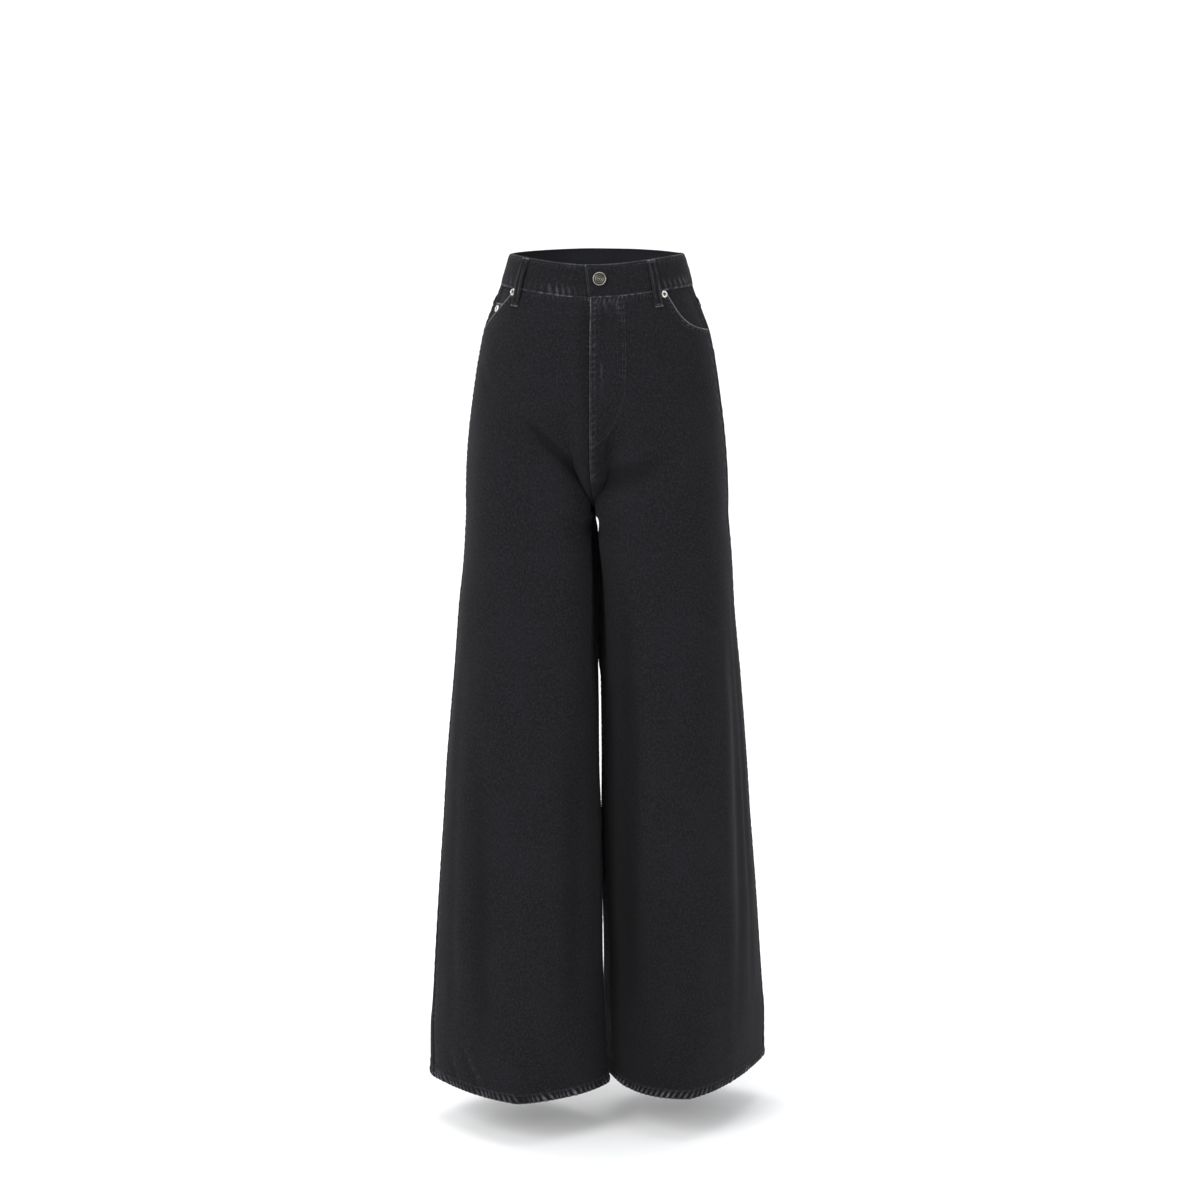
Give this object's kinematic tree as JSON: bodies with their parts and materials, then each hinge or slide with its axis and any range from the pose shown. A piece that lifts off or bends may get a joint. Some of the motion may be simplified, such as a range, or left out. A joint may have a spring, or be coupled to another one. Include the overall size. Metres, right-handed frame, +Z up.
{
  "type": "wide-leg jeans",
  "caption": "High-waisted wide-leg jeans in black washed denim, hollow and in their worn shape, with a buttoned waistband, scooped front pockets and patch back pockets.",
  "frame": {"origin": "centre of the waist opening, at the height of its side edges, where the wearer's waist holds the jeans", "axes": "+Z up along the body, the front faces -Y, +X is the wearer's left"},
  "size_m": [0.441, 0.2548, 1.0902],
  "materials": {
    "denim": "black cotton twill, washed, matte, worn paler along its edges",
    "button_metal": "antique nickel plate, dark in its recesses",
    "rivet_metal": "bright nickel plate, worn"
  },
  "bodies": {
    "root": {"front_left": "denim", "front_right": "denim", "back_left": "denim", "back_right": "denim", "yoke_left": "denim", "yoke_right": "denim", "waistband": "denim", "pocket_facing_left": "denim", "pocket_facing_right": "denim", "coin_pocket": "denim", "back_pocket_left": "denim", "back_pocket_right": "denim", "belt_loop_front_left": "denim", "belt_loop_side_left": "denim", "belt_loop_back": "denim", "belt_loop_side_right": "denim", "belt_loop_front_right": "denim", "button": "button_metal", "rivet_pocket_left": "rivet_metal", "rivet_pocket_right": "rivet_metal", "rivet_coin_pocket": "rivet_metal"}
  },
  "joints": []
}
